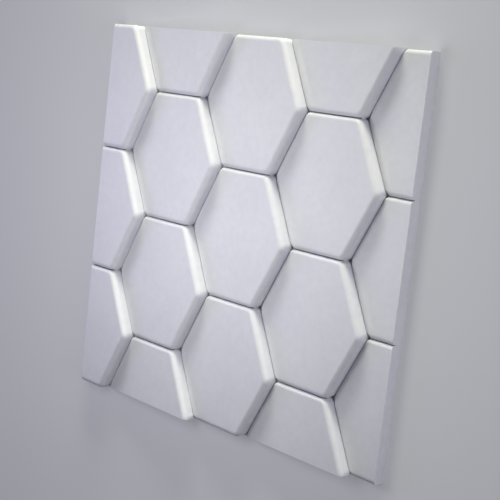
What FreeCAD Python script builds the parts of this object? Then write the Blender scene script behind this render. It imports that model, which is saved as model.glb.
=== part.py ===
import FreeCAD, Part
import math
import os

from FreeCAD import Placement, Rotation, Vector

# A cast gypsum wall tile with a relief of hexagon cells, in millimetres.
# The tile lies on its back: the wall side is Z = 0 and the relief faces up.
# The origin is the centre of the back. X runs across the columns of cells and Y up them.

# Outline and pattern
TILE_WIDTH = 500.0  # along X
TILE_HEIGHT = 500.0  # along Y
COLUMNS_ACROSS = 4  # the tile takes this many column pitches, so the next tile goes on with the pattern
ROWS_UP = 3  # and this many cells, one above the other

# One cell, measured in plan
CELL_WIDTH = TILE_WIDTH / 3.0  # corner to corner along X, where it is as wide as it is high along Y
CENTRE_THICKNESS = 20.0  # back of the tile to the middle of every face
TILT = 7.3  # degrees by which a face rises from its left corner to its right one
EDGE_RADIUS = 6.2  # round on the upper edges of a cell
LOW_EDGE_RADIUS = 2.5  # round on its two low edges, for the thin groove at the foot of the higher cells
CORNER_RADIUS = 12.0  # round on the upright edges of a cell
LOW_CORNER_RADIUS = 24.0  # round on its lowest upright edge, the left one, for the small pocket there
CELL_LAP = 0.3  # how far a cell runs on under the higher cells to its left
PATTERN_SHIFT = 4.4  # how far the cells sit to the right of the tile's middle

# Joint line between the cells of one column
JOINT_WIDTH = 1.2  # clear width of the line between two cells
JOINT_DEPTH = 7.0  # how far its floor lies under the middle of a face
JOINT_TILT = 5.0  # degrees by which the floor rises, less than a face, so that no place gets too thin
JOINT_LAP = 0.7  # how far the rounded cells would run past the middle of the line, if it weren't cut
BED_LAP = 3.0  # how far a column's bed runs on under the higher column beside it


def pitches():
    """Distances between the centres of columns and of cells, so that the pattern closes at the edges."""
    return TILE_WIDTH / COLUMNS_ACROSS, TILE_HEIGHT / ROWS_UP


def cell_flat():
    """Length of a cell's level sides, so that the corners of neighbours meet."""
    column_pitch, row_pitch = pitches()
    return 2.0 * column_pitch - CELL_WIDTH


def high_point():
    """Height of the right corner of a face before its edge is rounded."""
    return CENTRE_THICKNESS + CELL_WIDTH / 2.0 * math.tan(math.radians(TILT))


def column_x(column):
    """X of the centre line of a column, where the first and the last lie near the tile's edges."""
    column_pitch, row_pitch = pitches()
    return column * column_pitch - TILE_WIDTH / 2.0 + PATTERN_SHIFT


def cell_rows(column):
    """Y of the cell centres in a column. Every second column is half a cell lower."""
    column_pitch, row_pitch = pitches()
    half_cell = row_pitch / 2.0
    if column % 2:
        return [row * row_pitch - TILE_HEIGHT / 2.0 for row in range(ROWS_UP + 1)]
    return [row * row_pitch + half_cell - TILE_HEIGHT / 2.0 for row in range(ROWS_UP)]


def closed_face(points):
    """A flat face inside a closed outline of points."""
    return Part.Face(Part.makePolygon(points + points[:1]))


def upright_block(outline, tilt, drop):
    """A block with upright sides over an outline, from under the tile up to a tilted top.

    The top rises to the right by the tilt in degrees.
    Its middle lies square under the middle of the face by the drop.
    """
    foot = 2.0 * EDGE_RADIUS
    column = outline.extrude(Vector(0, 0, 2.0 * high_point()))
    column.translate(Vector(0, 0, -foot))
    reach = 2.0 * TILE_HEIGHT
    under = Part.makeBox(2.0 * reach, 2.0 * reach, reach, Vector(-reach, -reach, -reach - drop))
    under.Placement = Placement(Vector(0, 0, CENTRE_THICKNESS), Rotation(Vector(0, 1, 0), -tilt))
    return column.common(under)


def rounded_upper_edges(block, shoulder_x):
    """The block with its upper edges rounded, those left of the shoulder by the low radius."""
    document = FreeCAD.newDocument("cell")
    plain = document.addObject("Part::Feature", "plain")
    plain.Shape = block
    rounded = document.addObject("Part::Fillet", "rounded")
    rounded.Base = plain
    radii = []
    for number, edge in enumerate(block.Edges, start=1):
        if edge.BoundBox.ZMin > 0.0:
            ends = [edge.valueAt(edge.FirstParameter), edge.valueAt(edge.LastParameter)]
            first, last = [LOW_EDGE_RADIUS if end.x < shoulder_x else EDGE_RADIUS for end in ends]
            radii.append((number, first, last))
    rounded.Edges = radii
    document.recompute()
    shape = rounded.Shape.copy()
    FreeCAD.closeDocument("cell")
    return shape


def hexagon_block():
    """One cell with its edges rounded, then cut straight along the joint lines above and below it."""
    column_pitch, row_pitch = pitches()
    half_width = CELL_WIDTH / 2.0
    half_height = row_pitch / 2.0
    top = half_height + JOINT_LAP
    inner = half_width - (half_width - cell_flat() / 2.0) * top / half_height
    shoulder_x = -inner - CELL_LAP
    corners = [
        Vector(half_width, 0, 0),
        Vector(inner, top, 0),
        Vector(shoulder_x, top, 0),
        Vector(-half_width - CELL_LAP, 0, 0),
        Vector(shoulder_x, -top, 0),
        Vector(inner, -top, 0),
    ]
    block = upright_block(closed_face(corners), TILT, 0.0)
    upright = [edge for edge in block.Edges if edge.BoundBox.ZMin < 0.0 < edge.BoundBox.ZMax]
    upright.sort(key=lambda edge: edge.BoundBox.XMin)
    block = block.makeFillet(CORNER_RADIUS, upright[1:])
    lowest = [edge for edge in block.Edges if abs(edge.BoundBox.XMax - corners[3].x) < 0.001]
    block = block.makeFillet(LOW_CORNER_RADIUS, lowest)
    block = rounded_upper_edges(block, shoulder_x)
    length = row_pitch - JOINT_WIDTH
    reach = 2.0 * CELL_WIDTH
    corner = Vector(-reach / 2.0, -length / 2.0, -reach / 2.0)
    return block.common(Part.makeBox(reach, length, reach, corner))


def column_bed(column):
    """The solid gypsum under one column of cells, with a zigzag wall on each side.

    Its top is the floor of the joint lines. It is shifted towards the higher column beside it,
    so that it closes the joint there and no step shows on that column's wall.
    """
    column_pitch, row_pitch = pitches()
    inner = cell_flat() / 2.0
    outer = CELL_WIDTH / 2.0
    rows = cell_rows(column)
    right_side = []
    left_side = []
    for y in [rows[0] - row_pitch] + rows + [rows[-1] + row_pitch]:
        right_side += [Vector(inner - BED_LAP, y - row_pitch / 2.0, 0), Vector(outer - BED_LAP, y, 0)]
        left_side += [Vector(-inner - BED_LAP, y - row_pitch / 2.0, 0), Vector(-outer - BED_LAP, y, 0)]
    return upright_block(closed_face(right_side + left_side[::-1]), JOINT_TILT, JOINT_DEPTH)


def gypsum_tile():
    """The whole casting: beds and cells fused, then cut square to the tile's outline and flat back."""
    block = hexagon_block()
    pieces = []
    for column in range(COLUMNS_ACROSS + 1):
        bed = column_bed(column)
        bed.translate(Vector(column_x(column), 0, 0))
        pieces.append(bed)
        for y in cell_rows(column):
            cell = block.copy()
            cell.translate(Vector(column_x(column), y, 0))
            pieces.append(cell)
    relief = pieces[0].multiFuse(pieces[1:])
    corner = Vector(-TILE_WIDTH / 2.0, -TILE_HEIGHT / 2.0, 0)
    envelope = Part.makeBox(TILE_WIDTH, TILE_HEIGHT, 2.0 * high_point(), corner)
    return relief.common(envelope).removeSplitter()


def main():
    """Write the tile as one solid and print what it measures."""
    tile = gypsum_tile()
    box = tile.optimalBoundingBox(True, False)
    print("solids", len(tile.Solids), "valid", tile.isValid(), "volume", round(tile.Volume))
    size = [round(length, 3) for length in (box.XLength, box.YLength, box.ZLength)]
    print("size", *size, "faces", len(tile.Faces))
    os.makedirs("parts", exist_ok=True)
    tile.Solids[0].exportStep("parts/gypsum_tile.step")


main()
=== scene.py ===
"""Dressed scene of a cast gypsum wall tile with a relief of tilted hexagon cells.

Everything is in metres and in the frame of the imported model. The tile lies on its flat back at Z = 0,
X runs across the columns of cells and Y up them.
"""

import logging
import math
from dataclasses import dataclass, field
from enum import Enum
from typing import ClassVar

import bpy
from mathutils import Euler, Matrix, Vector


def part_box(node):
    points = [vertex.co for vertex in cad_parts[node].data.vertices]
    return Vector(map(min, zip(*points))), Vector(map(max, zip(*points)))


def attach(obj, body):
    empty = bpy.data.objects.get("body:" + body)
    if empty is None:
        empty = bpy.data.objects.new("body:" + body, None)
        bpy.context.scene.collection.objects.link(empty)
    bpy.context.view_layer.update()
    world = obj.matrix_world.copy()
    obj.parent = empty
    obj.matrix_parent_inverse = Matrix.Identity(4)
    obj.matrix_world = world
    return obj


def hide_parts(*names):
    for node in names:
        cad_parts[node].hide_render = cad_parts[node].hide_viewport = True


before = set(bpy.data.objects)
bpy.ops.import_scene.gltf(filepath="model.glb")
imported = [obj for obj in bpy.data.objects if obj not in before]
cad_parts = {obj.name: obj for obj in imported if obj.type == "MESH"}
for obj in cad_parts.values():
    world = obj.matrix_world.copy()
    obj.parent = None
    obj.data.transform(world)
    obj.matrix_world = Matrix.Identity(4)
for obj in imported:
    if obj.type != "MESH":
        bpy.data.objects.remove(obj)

LOG = logging.getLogger("tile_scene")
TILE_NODE = "gypsum_tile"
BODY = "root"

MM = 0.001
# Points nearer than this are one point, on a cell and on the whole casting
CELL_WELD = 0.01 * MM
CASTING_WELD = 0.001 * MM
# A fold sharper than this stays a crisp edge
CRISP_FOLD = math.radians(25.0)
# The back faces down, and its normal's Z lies under this
BACK_FACING = -0.9
# A lamp without a grid shines to all sides in front of it
NO_GRID = math.radians(180.0)

# Blender's names for the node types that come up often
MATH = "ShaderNodeMath"
VECTOR_MATH = "ShaderNodeVectorMath"
COMBINE = "ShaderNodeCombineXYZ"
SET_POSITION = "GeometryNodeSetPosition"
TRANSFORM = "GeometryNodeTransform"
CUBE = "GeometryNodeMeshCube"
BOOLEAN = "GeometryNodeMeshBoolean"
SWITCH = "GeometryNodeIndexSwitch"
NOISE = "ShaderNodeTexNoise"
VORONOI = "ShaderNodeTexVoronoi"
MAPPING = "ShaderNodeMapping"
MIX = "ShaderNodeMix"
RANGE = "ShaderNodeMapRange"
BUMP = "ShaderNodeBump"

Source = str | float | tuple | bool | list | bpy.types.ID | None


def linear(hex_colour: str) -> tuple[float, float, float, float]:
    """Turn an sRGB hex colour into the linear colour that Blender's sockets hold.

    Args:
        hex_colour: Six hex digits, with or without a leading mark.

    Returns:
        Red, green, blue and an alpha of one.
    """
    digits = hex_colour.lstrip("#")
    levels = [int(digits[start : start + 2], 16) / 255.0 for start in (0, 2, 4)]
    red, green, blue = (
        level / 12.92 if level <= 0.04045 else ((level + 0.055) / 1.055) ** 2.4 for level in levels
    )
    return red, green, blue, 1.0


@dataclass
class Wiring:
    """A node tree that is being wired, with the outputs that later nodes ask for by name."""

    tree: bpy.types.NodeTree
    outputs: dict[str, bpy.types.NodeSocket] = field(default_factory=dict)

    def add(
        self,
        name: str,
        kind: str,
        values: list[Source] | dict[str, Source] | None = None,
        output: int = 0,
        items: int = 0,
        **settings: object,
    ) -> bpy.types.Node:
        """Add one node with its settings and links, and keep one of its outputs under a name.

        Args:
            name: What later nodes call the kept output.
            kind: Blender's name for the node type.
            values: What goes into the inputs, in their order or by identifier. A string is the name of
                a kept output, a list links several of them into one input, and None leaves it alone.
            output: Place of the kept output among the node's outputs.
            items: How many items an index switch chooses from.
            settings: Properties of the node.

        Returns:
            The new node.
        """
        node = self.tree.nodes.new(kind)
        node.label = name
        for setting, value in settings.items():
            setattr(node, setting, value)
        for _ in range(items - 2):
            node.index_switch_items.new()
        sockets = {socket.identifier: socket for socket in node.inputs}
        if not isinstance(values, dict):
            values = dict(zip(sockets, values or []))
        for identifier, value in values.items():
            several = value if isinstance(value, list) else [value]
            for single in several:
                if isinstance(single, str):
                    self.tree.links.new(self.outputs[single], sockets[identifier])
                elif single is not None:
                    sockets[identifier].default_value = single
        if node.outputs:
            self.outputs[name] = node.outputs[output]
        return node


def shown_to_camera(w: Wiring) -> None:
    """Wire "shown", which is one for what the camera sees, straight or by way of gloss and glass.

    Args:
        w: The tree of a floor or a world.
    """
    rays = w.add("seen", "ShaderNodeLightPath")
    w.outputs["mirrored"] = rays.outputs["Is Glossy Ray"]
    w.outputs["passed"] = rays.outputs["Is Transmission Ray"]
    w.add("seen_or_mirrored", MATH, ["seen", "mirrored"], operation="MAXIMUM")
    w.add("shown", MATH, ["seen_or_mirrored", "passed"], operation="MAXIMUM")


class Joining(Enum):
    """How a set of closed solids is made into one."""

    FUSE = "UNION"
    KEEP_COMMON = "INTERSECT"


@dataclass(frozen=True)
class CastGypsum:
    """Dry cast gypsum, poured in a smooth silicone mould.

    It is a chalk white with a cool tinge. The mould side is smooth and has the soft sheen of an eggshell,
    with a faint cloudiness from the way the crystals set and a few pinholes where air was caught, which are
    painted a darker grey as painted shade in the pits. The joint lines and the foot of the steps are
    painted
    darker as painted shade: the less open a recess is, the darker it is painted. The back was levelled in
    the open, so it is rougher and shows the pull of the levelling bar.
    """

    white: str = "#D5D5DB"
    cloud: str = "#CFCFD7"
    # Painted shade: the dark grey that recesses are painted with, the more the less open they are
    dust: str = "#303035"
    # Painted shade: the grey painted inside the pinholes
    pinhole: str = "#A4A4AB"
    roughness: float = 0.5
    back_roughness: float = 0.85
    ior: float = 1.5
    cloud_size: float = 70.0 * MM
    mottle_size: float = 9.0 * MM
    # Sum of clouds and mottles at which the cloud's colour starts, and at which it is full
    cloud_range: tuple[float, float] = (0.75, 1.25)
    # Set gypsum is grained at a tenth of a millimetre, too fine to show, so its grain is drawn coarser
    grain_size: float = 1.6 * MM
    grain_height: float = 0.05 * MM
    pinhole_spacing: float = 16.0 * MM
    pinhole_radius: float = 0.4 * MM
    pinhole_share: float = 0.15
    # Part of a pinhole's radius that is its flat bottom
    pinhole_bottom: float = 0.6
    recess_reach: float = 6.0 * MM
    recess_samples: int = 8
    # Openness of a recess at which the painted shade starts, and at which it is full
    shade_range: tuple[float, float] = (0.27, 0.05)
    streak_length: float = 90.0 * MM
    streak_width: float = 3.0 * MM
    streak_height: float = 0.3 * MM

    def find_back(self, w: Wiring) -> None:
        """Wire "on_back", which is one on the flat back, and the roughness there and elsewhere.

        Args:
            w: The material's tree.
        """
        w.add("facing", "ShaderNodeTexCoord", output=1)
        facing = w.add("facing_x", "ShaderNodeSeparateXYZ", ["facing"])
        w.outputs["facing_z"] = facing.outputs["Z"]
        w.add("on_back", MATH, ["facing_z", BACK_FACING], operation="LESS_THAN")
        w.add("matt", RANGE, {"Value": "on_back", "To Min": self.roughness, "To Max": self.back_roughness})

    def scatter_pinholes(self, w: Wiring) -> None:
        """Wire "pinhole_here", which is one inside a pinhole. Only a share of the spots has one.

        Args:
            w: The material's tree.
        """
        bubble = w.add("bubble_distance", VORONOI, {"Vector": "place", "Scale": 1.0 / self.pinhole_spacing})
        w.outputs["bubble_colour"] = bubble.outputs["Color"]
        w.add("bubble_lot", "ShaderNodeSeparateColor", ["bubble_colour"])
        w.add("bubble_here", MATH, ["bubble_lot", self.pinhole_share], operation="LESS_THAN")
        rim = self.pinhole_radius / self.pinhole_spacing
        bottom = self.pinhole_bottom * rim
        w.add("hollow", RANGE, {"Value": "bubble_distance", "From Min": rim, "From Max": bottom})
        w.add("pinhole_here", MATH, ["hollow", "bubble_here"], operation="MULTIPLY")

    def colour(self, w: Wiring) -> None:
        """Wire the colour, from clouds and mottles to painted shade in the recesses and pinholes.

        Args:
            w: The material's tree.
        """
        w.add("clouds", NOISE, {"Vector": "place", "Scale": 1.0 / self.cloud_size, "Detail": 3.0})
        w.add("mottles", NOISE, {"Vector": "place", "Scale": 1.0 / self.mottle_size, "Detail": 4.0})
        w.add("unevenness", MATH, ["clouds", "mottles"], operation="ADD")
        # Painted shade: how open the surface is decides how much of the recess shade is painted on
        w.add(
            "openness",
            "ShaderNodeAmbientOcclusion",
            {"Distance": self.recess_reach},
            output=1,
            samples=self.recess_samples,
            only_local=True,
        )
        shares = [
            ("cloud_share", "unevenness", self.cloud_range),
            ("dust_share", "openness", self.shade_range),
        ]
        for name, source, (start, full) in shares:
            w.add(name, RANGE, {"Value": source, "From Min": start, "From Max": full})
        layers = [
            ("cloudy", "cloud_share", linear(self.white), linear(self.cloud)),
            # Painted shade in the joint lines, at the foot of the steps and in the pockets
            ("dusty", "dust_share", "cloudy", linear(self.dust)),
            # Painted shade inside the pinholes
            ("tone", "pinhole_here", "dusty", linear(self.pinhole)),
        ]
        for name, share, under, over in layers:
            colours = {"Factor_Float": share, "A_Color": under, "B_Color": over}
            w.add(name, MIX, colours, output=2, data_type="RGBA")

    def relief(self, w: Wiring) -> None:
        """Wire the fine bumps: grain and pinholes on the mould side, streaks on the back.

        Args:
            w: The material's tree.
        """
        w.add("grain", NOISE, {"Vector": "place", "Scale": 1.0 / self.grain_size, "Detail": 2.0})
        stretch = (1.0 / self.streak_length, 1.0 / self.streak_width, 1.0)
        w.add("along_bar", MAPPING, {"Vector": "place", "Scale": stretch})
        w.add("streaks", NOISE, {"Vector": "along_bar", "Scale": 1.0, "Detail": 5.0})
        w.add("drawn", MATH, ["streaks", "on_back"], operation="MULTIPLY")
        bumps = [
            ("fine", "grain", self.grain_height, None, False),
            ("pitted", "pinhole_here", self.pinhole_radius, "fine", True),
            ("levelled", "drawn", self.streak_height, "pitted", False),
        ]
        for name, shape, height, ground, sunk in bumps:
            values = {"Height": shape, "Strength": 1.0, "Distance": height, "Normal": ground}
            w.add(name, BUMP, values, invert=sunk)

    def material(self) -> bpy.types.Material:
        """Build the material.

        Returns:
            A material that reads Object coordinates and the casting's own normals.
        """
        finish = bpy.data.materials.new("cast_gypsum")
        finish.use_nodes = True
        finish.node_tree.nodes.clear()
        w = Wiring(finish.node_tree)
        w.add("place", "ShaderNodeTexCoord", output=3)
        self.find_back(w)
        self.scatter_pinholes(w)
        self.colour(w)
        self.relief(w)
        w.add(
            "surface",
            "ShaderNodeBsdfPrincipled",
            {"Base Color": "tone", "Roughness": "matt", "IOR": self.ior, "Normal": "levelled"},
        )
        w.add("end", "ShaderNodeOutputMaterial", ["surface"])
        return finish


@dataclass
class HexagonRelief:
    """The one casting: tilted hexagon cells with rounded edges, cut square to the tile's outline."""

    name: str = "gypsum_casting"
    width: float = 500.0 * MM
    height: float = 500.0 * MM
    columns: int = 4
    rows: int = 3
    cell_width: float = 500.0 / 3.0 * MM
    centre_thickness: float = 20.0 * MM
    tilt: float = math.radians(7.3)
    edge_radius: float = 6.2 * MM
    low_edge_radius: float = 2.5 * MM
    corner_radius: float = 12.0 * MM
    low_corner_radius: float = 24.0 * MM
    cell_lap: float = 0.3 * MM
    pattern_shift: float = 4.4 * MM
    joint_width: float = 1.2 * MM
    joint_depth: float = 7.0 * MM
    joint_tilt: float = math.radians(5.0)
    joint_lap: float = 0.7 * MM
    bed_lap: float = 3.0 * MM
    round_steps: int = 10
    edge_margin: float = 1.0 * MM
    # The outline turns at its six corners and ends with the turn that it starts with
    turn_count: ClassVar[int] = 7
    finish: CastGypsum = CastGypsum()

    def inputs(self, material: bpy.types.Material) -> dict[str, tuple[str, object]]:
        """List the tree's named inputs.

        Args:
            material: What the casting is made of.

        Returns:
            Kind of socket and value, by the input's name.
        """
        return {
            "Tile Width": ("Float", self.width),
            "Tile Height": ("Float", self.height),
            "Columns": ("Int", self.columns),
            "Rows": ("Int", self.rows),
            "Cell Width": ("Float", self.cell_width),
            "Centre Thickness": ("Float", self.centre_thickness),
            "Tilt": ("Float", self.tilt),
            "Edge Radius": ("Float", self.edge_radius),
            "Low Edge Radius": ("Float", self.low_edge_radius),
            "Corner Radius": ("Float", self.corner_radius),
            "Low Corner Radius": ("Float", self.low_corner_radius),
            "Cell Lap": ("Float", self.cell_lap),
            "Pattern Shift": ("Float", self.pattern_shift),
            "Joint Width": ("Float", self.joint_width),
            "Joint Depth": ("Float", self.joint_depth),
            "Joint Tilt": ("Float", self.joint_tilt),
            "Joint Lap": ("Float", self.joint_lap),
            "Bed Lap": ("Float", self.bed_lap),
            "Round Steps": ("Int", self.round_steps),
            "Edge Margin": ("Float", self.edge_margin),
            "Gypsum": ("Material", material),
        }

    def measure_cell(self, w: Wiring) -> None:
        """Wire the sizes that follow from the named ones.

        Args:
            w: The relief's tree.
        """
        w.add("column_pitch", MATH, ["Tile Width", "Columns"], operation="DIVIDE")
        w.add("row_pitch", MATH, ["Tile Height", "Rows"], operation="DIVIDE")
        w.add("half_width", MATH, ["Cell Width", 0.5], operation="MULTIPLY")
        w.add("half_flat", MATH, ["column_pitch", "half_width"], operation="SUBTRACT")
        w.add("half_height", MATH, ["row_pitch", 0.5], operation="MULTIPLY")
        w.add("cos_tilt", MATH, ["Tilt"], operation="COSINE")
        w.add("sin_tilt", MATH, ["Tilt"], operation="SINE")
        w.add("slope", MATH, ["Tilt"], operation="TANGENT")
        w.add("point_reach", MATH, ["half_width", "half_flat"], operation="SUBTRACT")
        # Angle by which a sloping side's outward normal leaves the level
        w.add("side_angle", MATH, ["point_reach", "half_height"], operation="ARCTAN2")
        w.add("inset", MATH, ["Corner Radius", "Joint Lap"], operation="SUBTRACT")
        # Everything that a cut goes right through is twice as deep as the tile's middle
        w.add("through", MATH, ["Centre Thickness", 3.0], operation="MULTIPLY")

    def round_corners(self, w: Wiring) -> None:
        """Wire the six corners about which the rounded outline turns, and where each turn starts and ends.

        Args:
            w: The relief's tree.
        """
        w.add("cos_side", MATH, ["side_angle"], operation="COSINE")
        w.add("tan_side", MATH, ["side_angle"], operation="TANGENT")
        w.add("inset_at_point", MATH, ["Corner Radius", "cos_side"], operation="DIVIDE")
        w.add("point_x", MATH, ["half_width", "inset_at_point"], operation="SUBTRACT")
        w.add("top_y", MATH, ["half_height", "inset"], operation="SUBTRACT")
        w.add("lean", MATH, ["top_y", "tan_side"], operation="MULTIPLY")
        w.add("top_x", MATH, ["point_x", "lean"], operation="SUBTRACT")
        w.add("-top_y", MATH, ["top_y", -1.0], operation="MULTIPLY")
        # The left half is drawn out, so that it runs on under the higher cells there
        w.add("-lap", MATH, ["Cell Lap", -1.0], operation="MULTIPLY")
        w.add("low_inset", MATH, ["Low Corner Radius", "cos_side"], operation="DIVIDE")
        w.add("low_reach", MATH, ["half_width", "low_inset"], operation="SUBTRACT")
        w.add("left_point_x", MATH, ["-lap", "low_reach"], operation="SUBTRACT")
        w.add("left_top_x", MATH, ["-lap", "top_x"], operation="SUBTRACT")
        corners = [
            ("point_x", 0.0),
            ("top_x", "top_y"),
            ("left_top_x", "top_y"),
            ("left_point_x", 0.0),
            ("left_top_x", "-top_y"),
            ("top_x", "-top_y"),
            ("point_x", 0.0),
        ]
        for number, (x, y) in enumerate(corners):
            w.add(f"corner {number}", COMBINE, [x, y, 0.0])
        # The outward direction turns by these angles, from one side's normal to the next side's
        turns = [
            (0.0, -1.0),
            (0.0, 1.0),
            (0.5, 0.0),
            (1.0, -1.0),
            (1.0, 1.0),
            (1.5, 0.0),
            (2.0, -1.0),
            (2.0, 1.0),
        ]
        for number, (half_turns, share) in enumerate(turns):
            angle = ["side_angle", share, half_turns * math.pi]
            w.add(f"turn {number}", MATH, angle, operation="MULTIPLY_ADD")

    def wire_cell(self, w: Wiring) -> None:
        """Wire one closed cell about the middle of its face, from a grid that is wrapped around it.

        The grid's long way goes round the outline and its short way goes from the middle of the
        underside, up the wall, over the rounded edge and to the middle of the face.

        Args:
            w: The relief's tree.
        """
        # A turn has one more point than steps, and a margin point on each side of it
        w.add("turn_points", MATH, ["Round Steps", 3.0], operation="ADD")
        w.add("around", MATH, ["turn_points", 6.0, 1.0], operation="MULTIPLY_ADD")
        w.add("levels", MATH, ["Round Steps", 6.0], operation="ADD")
        w.add("wrap", "GeometryNodeMeshGrid", [1.0, 1.0, "around", "levels"])
        w.add("index", "GeometryNodeInputIndex")
        w.add("column_ratio", MATH, ["index", "levels"], operation="DIVIDE")
        w.add("along", MATH, ["column_ratio"], operation="FLOOR")
        w.add("level", MATH, ["index", "levels"], operation="MODULO")
        w.add("corner_ratio", MATH, ["along", "turn_points"], operation="DIVIDE")
        w.add("corner_number", MATH, ["corner_ratio"], operation="FLOOR")
        w.add("step", MATH, ["along", "turn_points"], operation="MODULO")

        # The left corner is rounder, and the round on the edge shrinks on the way to the low sides
        numbers = range(self.turn_count)
        left_top, left_point, left_bottom = 2, 3, 4
        usual, low = "Edge Radius", "Low Edge Radius"
        picks = {
            "corner": [f"corner {number}" for number in numbers],
            "first": [f"turn {number}" for number in numbers],
            "last": [f"turn {number + 1}" for number in numbers],
            "turn_radius": [
                "Low Corner Radius" if number == left_point else "Corner Radius" for number in numbers
            ],
            "first_ball": [low if number in (left_point, left_bottom) else usual for number in numbers],
            "last_ball": [low if number in (left_top, left_point) else usual for number in numbers],
        }
        for name, choices in picks.items():
            kind = "VECTOR" if name == "corner" else "FLOAT"
            w.add(name, SWITCH, ["corner_number"] + choices, items=len(choices), data_type=kind)
        w.add("step_from_one", MATH, ["step", 1.0], operation="SUBTRACT")
        w.add("sweep", MATH, ["step_from_one", "Round Steps"], operation="DIVIDE", use_clamp=True)
        changes = [("direction", "first", "last"), ("ball_radius", "first_ball", "last_ball")]
        for name, first, last in changes:
            w.add(name, MIX, {"Factor_Float": "sweep", "A_Float": first, "B_Float": last})
        w.add("ball_swing", MATH, ["turn_radius", "ball_radius"], operation="SUBTRACT")

        # Margin points slide along the straight side, away from the turn
        w.add("before", MATH, [1.0, "step"], operation="SUBTRACT", use_clamp=True)
        w.add("past_step", MATH, ["step_from_one", "Round Steps"], operation="SUBTRACT", use_clamp=True)
        w.add("way", MATH, ["past_step", "before"], operation="SUBTRACT")
        w.add("slide", MATH, ["way", "Edge Margin"], operation="MULTIPLY")

        w.add("wall_levels", MATH, ["level", 3.0], operation="SUBTRACT")
        w.add("arc_share", MATH, ["wall_levels", "Round Steps"], operation="DIVIDE", use_clamp=True)
        w.add("under_arc", MATH, [3.0, "level"], operation="SUBTRACT", use_clamp=True)
        w.add("drop_margin", MATH, ["under_arc", "Edge Margin"], operation="MULTIPLY")
        w.add("at_foot", MATH, [2.0, "level"], operation="SUBTRACT", use_clamp=True)
        w.add("drop_foot", MATH, ["at_foot", "through"], operation="MULTIPLY")
        w.add("drop", MATH, ["drop_margin", "drop_foot"], operation="ADD")

        # The outline shrinks by a margin on the face and to a point in the middle of both ends
        w.add("open_below", MATH, ["level", 1.0], operation="MINIMUM")
        w.add("levels_left", MATH, ["levels", "level"], operation="SUBTRACT")
        w.add("rings_left", MATH, ["levels_left", 1.0], operation="SUBTRACT")
        w.add("open_above", MATH, ["rings_left", 1.0], operation="MINIMUM")
        w.add("open", MATH, ["open_below", "open_above"], operation="MULTIPLY")
        w.add("rings_to_margin", MATH, [2.0, "rings_left"], operation="SUBTRACT", use_clamp=True)
        w.add("margin_share", MATH, ["Edge Margin", "top_y"], operation="DIVIDE")
        w.add("shrink", MATH, ["rings_to_margin", "margin_share"], operation="MULTIPLY")
        w.add("unshrunk", MATH, [1.0, "shrink"], operation="SUBTRACT")
        w.add("scale", MATH, ["open", "unshrunk"], operation="MULTIPLY")

        w.add("cos_out", MATH, ["direction"], operation="COSINE")
        w.add("sin_out", MATH, ["direction"], operation="SINE")
        w.add("-sin_out", MATH, ["sin_out", -1.0], operation="MULTIPLY")
        w.add("out", COMBINE, ["cos_out", "sin_out", 0.0])
        w.add("sideways", COMBINE, ["-sin_out", "cos_out", 0.0])

        # A ball of the edge's radius rolls inside the walls and under the face. Its surface is the round.
        w.add("slide_by", VECTOR_MATH, {"Vector": "sideways", "Scale": "slide"}, operation="SCALE")
        w.add("swing_by", VECTOR_MATH, {"Vector": "out", "Scale": "ball_swing"}, operation="SCALE")
        w.add("swung", VECTOR_MATH, ["corner", "swing_by"], operation="ADD")
        w.add("ball_over", VECTOR_MATH, ["swung", "slide_by"], operation="ADD")
        w.add("ball_x", "ShaderNodeSeparateXYZ", ["ball_over"])
        w.add("face_over_ball", MATH, ["ball_x", "slope"], operation="MULTIPLY")
        w.add("ball_under", MATH, ["ball_radius", "cos_tilt"], operation="DIVIDE")
        w.add("ball_height", MATH, ["face_over_ball", "ball_under"], operation="SUBTRACT")
        w.add("ball_lift", COMBINE, [0.0, 0.0, "ball_height"])
        w.add("ball", VECTOR_MATH, ["ball_over", "ball_lift"], operation="ADD")

        # From the wall's normal to the face's, in even steps of angle
        w.add("-sin_tilt", MATH, ["sin_tilt", -1.0], operation="MULTIPLY")
        w.add("face_normal", COMBINE, ["-sin_tilt", 0.0, "cos_tilt"])
        w.add("likeness", VECTOR_MATH, ["out", "face_normal"], output=1, operation="DOT_PRODUCT")
        w.add("arc", MATH, ["likeness"], operation="ARCCOSINE")
        w.add("sin_arc", MATH, ["arc"], operation="SINE")
        w.add("edge_share", MATH, ["ball_radius", "sin_arc"], operation="DIVIDE")
        w.add("arc_done", MATH, ["arc", "arc_share"], operation="MULTIPLY")
        w.add("arc_left", MATH, ["arc", "arc_done"], operation="SUBTRACT")
        w.add("sin_done", MATH, ["arc_done"], operation="SINE")
        w.add("sin_left", MATH, ["arc_left"], operation="SINE")
        w.add("face_reach", MATH, ["sin_done", "edge_share"], operation="MULTIPLY")
        w.add("wall_reach", MATH, ["sin_left", "edge_share"], operation="MULTIPLY")
        w.add("wall_way", VECTOR_MATH, {"Vector": "out", "Scale": "wall_reach"}, operation="SCALE")
        w.add("face_way", VECTOR_MATH, {"Vector": "face_normal", "Scale": "face_reach"}, operation="SCALE")
        w.add("on_ball", VECTOR_MATH, ["wall_way", "face_way"], operation="ADD")
        w.add("full_place", VECTOR_MATH, ["ball", "on_ball"], operation="ADD")
        w.add("open_place", VECTOR_MATH, {"Vector": "full_place", "Scale": "scale"}, operation="SCALE")
        w.add("sunk", COMBINE, [0.0, 0.0, "drop"])
        w.add("place", VECTOR_MATH, ["open_place", "sunk"], operation="SUBTRACT")
        w.add("wrapped", SET_POSITION, ["wrap", None, "place"])
        w.add("rounded", "GeometryNodeMergeByDistance", ["wrapped", None, CELL_WELD])

        # The joint lines above and below the cell are cut straight
        w.add("cell_length", MATH, ["row_pitch", "Joint Width"], operation="SUBTRACT")
        w.add("cut_size", COMBINE, ["Tile Width", "cell_length", "Tile Width"])
        w.add("cut_box", CUBE, ["cut_size", 2, 2, 2])
        w.add(
            "cell",
            BOOLEAN,
            {"Mesh 2": ["rounded", "cut_box"]},
            operation=Joining.KEEP_COMMON.value,
            solver="MANIFOLD",
        )

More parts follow.
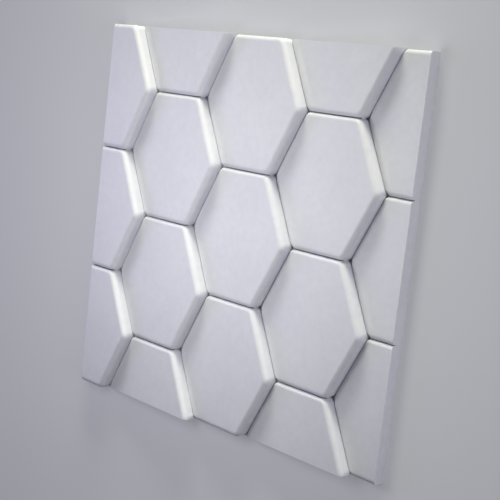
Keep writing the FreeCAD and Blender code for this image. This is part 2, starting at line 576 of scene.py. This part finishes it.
    def wire_bed(self, w: Wiring) -> None:
        """Wire the solid under one column of cells, whose top is the floor of the joint lines.

        Its sides zigzag with the cells. It is shifted towards the higher column beside it, so that it
        closes the joint there.

        Args:
            w: The relief's tree.
        """
        w.add("bed_rows", MATH, ["Rows", 2.0], operation="ADD")
        w.add("bed_length", MATH, ["bed_rows", "row_pitch"], operation="MULTIPLY")
        w.add("bed_points", MATH, ["bed_rows", 2.0, 1.0], operation="MULTIPLY_ADD")
        w.add("bed_size", COMBINE, [1.0, "bed_length", "through"])
        w.add("bed_block", CUBE, ["bed_size", 2, "bed_points", 2])
        w.add("bed_y", MATH, ["Rows", "half_height"], operation="MULTIPLY")
        w.add("half_through", MATH, ["through", 0.5], operation="MULTIPLY")
        w.add("cos_floor", MATH, ["Joint Tilt"], operation="COSINE")
        w.add("floor_slope", MATH, ["Joint Tilt"], operation="TANGENT")
        w.add("floor_under", MATH, ["Joint Depth", "cos_floor"], operation="DIVIDE")
        w.add("bed_depth", MATH, ["floor_under", "half_through"], operation="ADD")
        w.add("bed_z", MATH, ["bed_depth", -1.0], operation="MULTIPLY")
        w.add("bed_place", COMBINE, [0.0, "bed_y", "bed_z"])
        w.add("bed_set", TRANSFORM, ["bed_block", "bed_place"])
        w.add("at", "GeometryNodeInputPosition")
        split = w.add("at_x", "ShaderNodeSeparateXYZ", ["at"])
        w.outputs["at_y"] = split.outputs["Y"]
        w.outputs["at_z"] = split.outputs["Z"]
        w.add("hand", MATH, ["at_x"], operation="SIGN")
        w.add("from_point", MATH, ["at_y", "half_height"], operation="PINGPONG")
        w.add("point_share", MATH, ["from_point", "half_height"], operation="DIVIDE")
        w.add("pull_in", MATH, ["point_share", "point_reach"], operation="MULTIPLY")
        w.add("bed_half", MATH, ["half_width", "pull_in"], operation="SUBTRACT")
        w.add("bed_side", MATH, ["bed_half", "hand"], operation="MULTIPLY")
        # The left side laps twice, so that it ends inside the next bed and not on its wall
        w.add("laps", MATH, ["hand", -0.5, 1.5], operation="MULTIPLY_ADD")
        w.add("lapped", MATH, ["laps", "Bed Lap"], operation="MULTIPLY")
        w.add("bed_x", MATH, ["bed_side", "lapped"], operation="SUBTRACT")
        w.add("bed_tilt", MATH, ["bed_x", "floor_slope", "at_z"], operation="MULTIPLY_ADD")
        w.add("bed_at", COMBINE, ["bed_x", "at_y", "bed_tilt"])
        w.add("bed", SET_POSITION, ["bed_set", None, "bed_at"])

    def wire_layout(self, w: Wiring) -> None:
        """Wire the points that the cells and beds stand on. Every second column is half a cell lower.

        Args:
            w: The relief's tree.
        """
        w.add("grid_columns", MATH, ["Columns", 1.0], operation="ADD")
        w.add("grid_rows", MATH, ["Rows", 1.0], operation="ADD")
        grid_sizes = ["Tile Width", "Tile Height", "grid_columns", "grid_rows"]
        w.add("cell_grid", "GeometryNodeMeshGrid", grid_sizes)
        w.add("column_part", MATH, ["index", "grid_rows"], operation="DIVIDE")
        w.add("column", MATH, ["column_part"], operation="FLOOR")
        w.add("odd", MATH, ["column", 2.0], operation="MODULO")
        w.add("even", MATH, [1.0, "odd"], operation="SUBTRACT")
        w.add("up_by", MATH, ["even", "half_height"], operation="MULTIPLY")
        w.add("cell_shift", COMBINE, ["Pattern Shift", "up_by", "Centre Thickness"])
        w.add("cell_points", SET_POSITION, {"Geometry": "cell_grid", "Offset": "cell_shift"})
        w.add("half_tile", MATH, ["Tile Height", 0.5], operation="MULTIPLY")
        w.add("tile_end", MATH, ["half_tile", 1.0 * MM], operation="ADD")
        w.add("on_tile", MATH, ["at_y", "tile_end"], operation="LESS_THAN")
        w.add(
            "cells",
            "GeometryNodeInstanceOnPoints",
            {"Points": "cell_points", "Selection": "on_tile", "Instance": "cell"},
        )

        w.add("half_across", MATH, ["Tile Width", -0.5], operation="MULTIPLY")
        w.add("half_down", MATH, ["Tile Height", -0.5], operation="MULTIPLY")
        w.add("first_across", MATH, ["half_across", "Pattern Shift"], operation="ADD")
        w.add("first_bed", COMBINE, ["first_across", "half_down", "Centre Thickness"])
        w.add("next_bed", COMBINE, ["column_pitch", 0.0, 0.0])
        w.add(
            "bed_line",
            "GeometryNodeMeshLine",
            {"Count": "grid_columns", "Start Location": "first_bed", "Offset": "next_bed"},
        )
        w.add("bed_odd", MATH, ["index", 2.0], operation="MODULO")
        w.add("bed_even", MATH, [1.0, "bed_odd"], operation="SUBTRACT")
        w.add("bed_up", MATH, ["bed_even", "half_height"], operation="MULTIPLY")
        w.add("bed_shift", COMBINE, [0.0, "bed_up", 0.0])
        w.add("bed_spots", SET_POSITION, {"Geometry": "bed_line", "Offset": "bed_shift"})
        w.add("beds", "GeometryNodeInstanceOnPoints", {"Points": "bed_spots", "Instance": "bed"})

    def wire_casting(self, w: Wiring) -> None:
        """Wire the fused relief, cut to the tile's outline, with crisp cuts and smooth rounds.

        Args:
            w: The relief's tree.
        """
        w.add(
            "relief",
            BOOLEAN,
            {"Mesh 2": ["cells", "beds"]},
            operation=Joining.FUSE.value,
            solver="MANIFOLD",
        )
        w.add("outline_size", COMBINE, ["Tile Width", "Tile Height", "through"])
        w.add("outline_block", CUBE, ["outline_size", 2, 2, 2])
        w.add("outline_lift", COMBINE, [0.0, 0.0, "half_through"])
        w.add("outline_box", TRANSFORM, ["outline_block", "outline_lift"])
        w.add(
            "cut",
            BOOLEAN,
            {"Mesh 2": ["relief", "outline_box"]},
            operation=Joining.KEEP_COMMON.value,
            solver="MANIFOLD",
        )
        w.add("whole", "GeometryNodeRealizeInstances", ["cut"])
        w.add("clean", "GeometryNodeMergeByDistance", ["whole", None, CASTING_WELD])
        w.add("smooth", "GeometryNodeSetShadeSmooth", ["clean", None, True], domain="FACE")
        w.add("fold", "GeometryNodeInputMeshEdgeAngle")
        w.add("crisp", MATH, ["fold", CRISP_FOLD], operation="GREATER_THAN")
        w.add("creased", "GeometryNodeSetShadeSmooth", ["smooth", "crisp", False], domain="EDGE")
        w.add("dressed", "GeometryNodeSetMaterial", ["creased", None, "Gypsum"])
        w.add("end", "NodeGroupOutput", ["dressed"])

    def build(self) -> bpy.types.Object:
        """Build the casting as one plain mesh.

        Returns:
            The casting's object, at the origin, with its place in its mesh.
        """
        tree = bpy.data.node_groups.new("hexagon_relief", "GeometryNodeTree")
        inputs = self.inputs(self.finish.material())
        for name, (kind, _) in inputs.items():
            tree.interface.new_socket(name, in_out="INPUT", socket_type=f"NodeSocket{kind}")
        tree.interface.new_socket("Geometry", in_out="OUTPUT", socket_type="NodeSocketGeometry")
        w = Wiring(tree)
        start = w.add("start", "NodeGroupInput")
        w.outputs.update({name: start.outputs[name] for name in inputs})
        self.measure_cell(w)
        self.round_corners(w)
        self.wire_cell(w)
        self.wire_bed(w)
        self.wire_layout(w)
        self.wire_casting(w)

        piece = bpy.data.objects.new(self.name, bpy.data.meshes.new(self.name))
        bpy.context.scene.collection.objects.link(piece)
        modifier = piece.modifiers.new("relief", "NODES")
        modifier.node_group = tree
        for socket in tree.interface.items_tree:
            if socket.in_out == "INPUT":
                modifier[socket.identifier] = inputs[socket.name][1]
        graph = bpy.context.evaluated_depsgraph_get()
        mesh = bpy.data.meshes.new_from_object(piece.evaluated_get(graph))
        mesh.name = self.name
        piece.modifiers.clear()
        piece.data = mesh
        bpy.data.node_groups.remove(tree)
        return piece

    def dress(self, piece: bpy.types.Object) -> None:
        """Hang the casting on the frame, in place of the plain solid.

        Args:
            piece: The casting.
        """
        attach(piece, BODY)
        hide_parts(TILE_NODE)


@dataclass(frozen=True)
class PaintedFloor:
    """A studio floor with matt pale paint. It is even, with a barely seen drift of tone.

    A part of what the camera sees is a plain pale tone, so that the floor stays pale where the lamps
    don't reach. It lights nothing, and the tile's shadow still shows.
    """

    paint: str = "#C0C1C7"
    drift: str = "#BABBC2"
    plain: str = "#C9CAD0"
    plain_share: float = 0.35
    drift_size: float = 900.0 * MM
    roughness: float = 0.75

    def material(self) -> bpy.types.Material:
        """Build the material.

        Returns:
            A material that reads Object coordinates only.
        """
        finish = bpy.data.materials.new("matt_floor_paint")
        finish.use_nodes = True
        finish.node_tree.nodes.clear()
        w = Wiring(finish.node_tree)
        w.add("place", "ShaderNodeTexCoord", output=3)
        w.add("drifts", NOISE, {"Vector": "place", "Scale": 1.0 / self.drift_size, "Detail": 1.0})
        w.add(
            "tone",
            MIX,
            {"Factor_Float": "drifts", "A_Color": linear(self.paint), "B_Color": linear(self.drift)},
            output=2,
            data_type="RGBA",
        )
        w.add("paint", "ShaderNodeBsdfPrincipled", {"Base Color": "tone", "Roughness": self.roughness})
        w.add("plain", "ShaderNodeEmission", [linear(self.plain), 1.0])
        shown_to_camera(w)
        w.add("plain_part", MATH, ["shown", self.plain_share], operation="MULTIPLY")
        w.add("surface", "ShaderNodeMixShader", ["plain_part", "paint", "plain"])
        w.add("end", "ShaderNodeOutputMaterial", ["surface"])
        return finish


@dataclass(frozen=True)
class SoftLamp:
    """A softbox that points at the tile and isn't seen itself.

    A honeycomb grid keeps its light off the floor right in front of it.
    """

    name: str
    place: tuple[float, float, float]
    width: float
    height: float
    power: float
    colour: tuple[float, float, float]
    target: tuple[float, float, float] = (0.0, 0.0, 0.02)
    grid_angle: float = math.radians(70.0)

    def build(self) -> None:
        """Put the lamp in the scene."""
        light = bpy.data.lights.new(self.name, "AREA")
        light.shape = "RECTANGLE"
        light.size = self.width
        light.size_y = self.height
        light.energy = self.power
        light.color = self.colour
        light.spread = self.grid_angle
        lamp = bpy.data.objects.new(self.name, light)
        lamp.location = self.place
        aim = Vector(self.target) - Vector(self.place)
        lamp.rotation_euler = aim.to_track_quat("-Z", "Y").to_euler()
        lamp.visible_camera = False
        bpy.context.scene.collection.objects.link(lamp)


@dataclass
class Studio:
    """The pale floor, the lamps and the soft light of the room around the tile."""

    floor_side: float = 12.0
    floor_finish: PaintedFloor = PaintedFloor()
    lamps: tuple[SoftLamp, ...] = (
        SoftLamp(
            name="top_softbox",
            place=(0.058, 1.659, 0.368),
            width=0.8,
            height=0.35,
            power=5.85,
            colour=(0.99, 1.0, 0.82),
        ),
        SoftLamp(
            name="right_softbox",
            place=(1.642, 0.0, 0.44),
            width=0.8,
            height=0.8,
            power=1.73,
            colour=(0.94, 0.94, 1.0),
        ),
        SoftLamp(
            name="left_softbox",
            place=(-1.565, 0.0, 0.664),
            width=0.8,
            height=0.8,
            power=1.41,
            colour=(0.6, 0.58, 1.0),
        ),
        SoftLamp(
            name="overhead_panel",
            place=(-0.03, 0.02, 0.42),
            width=0.3,
            height=0.3,
            power=1.12,
            colour=(0.995, 1.0, 1.0),
            target=(-0.03, 0.02, 0.02),
            grid_angle=NO_GRID,
        ),
    )
    room_colour: tuple[float, float, float] = (0.93, 0.95, 1.0)
    room_strength: float = 0.02
    backdrop_colour: str = "#E9EAEE"

    def build_floor(self) -> None:
        """Lay the floor that the tile's back rests on."""
        half = self.floor_side / 2.0
        mesh = bpy.data.meshes.new("studio_floor")
        corners = [(-half, -half, 0.0), (half, -half, 0.0), (half, half, 0.0), (-half, half, 0.0)]
        mesh.from_pydata(corners, [], [(0, 1, 2, 3)])
        mesh.materials.append(self.floor_finish.material())
        floor = bpy.data.objects.new("studio_floor", mesh)
        bpy.context.scene.collection.objects.link(floor)

    def build_room(self) -> None:
        """Give the room its soft light, and a pale backdrop where the camera looks past the floor."""
        world = bpy.data.worlds.new("studio_room")
        world.use_nodes = True
        world.node_tree.nodes.clear()
        w = Wiring(world.node_tree)
        shown_to_camera(w)
        w.add("room", "ShaderNodeBackground", [(*self.room_colour, 1.0), self.room_strength])
        w.add("backdrop", "ShaderNodeBackground", [linear(self.backdrop_colour), 1.0])
        w.add("both", "ShaderNodeMixShader", ["shown", "room", "backdrop"])
        w.add("end", "ShaderNodeOutputWorld", ["both"])
        bpy.context.scene.world = world

    def build(self) -> None:
        """Build floor, lamps and room."""
        self.build_floor()
        for lamp in self.lamps:
            lamp.build()
        self.build_room()


@dataclass(frozen=True)
class Viewpoint:
    """The camera, at the photograph's viewing angle."""

    place: tuple[float, float, float] = (0.933, 0.20034, 1.152)
    turn: tuple[float, float, float] = (-3.1433, 39.2667, 8.2887)
    lens: float = 84.811
    sensor: float = 36.0

    def build(self) -> None:
        """Put the camera in the scene and make it the one that renders."""
        lens = bpy.data.cameras.new("tile_camera")
        lens.lens = self.lens
        lens.sensor_width = self.sensor
        lens.clip_start = 0.05
        lens.clip_end = 50.0
        camera = bpy.data.objects.new("tile_camera", lens)
        camera.location = self.place
        camera.rotation_euler = Euler([math.radians(angle) for angle in self.turn], "XYZ")
        bpy.context.scene.collection.objects.link(camera)
        bpy.context.scene.camera = camera


def main() -> None:
    """Build the camera, the tile and the studio, and log the casting's face count."""
    logging.basicConfig(level=logging.INFO, format="%(name)s: %(message)s")
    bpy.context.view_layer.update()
    bpy.context.scene.view_settings.view_transform = "Standard"
    Viewpoint().build()
    low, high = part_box(TILE_NODE)
    relief = HexagonRelief(width=high.x - low.x, height=high.y - low.y)
    casting = relief.build()
    relief.dress(casting)
    LOG.info("%s has %d faces", casting.name, len(casting.data.polygons))
    Studio().build()


if __name__ == "__main__":
    main()
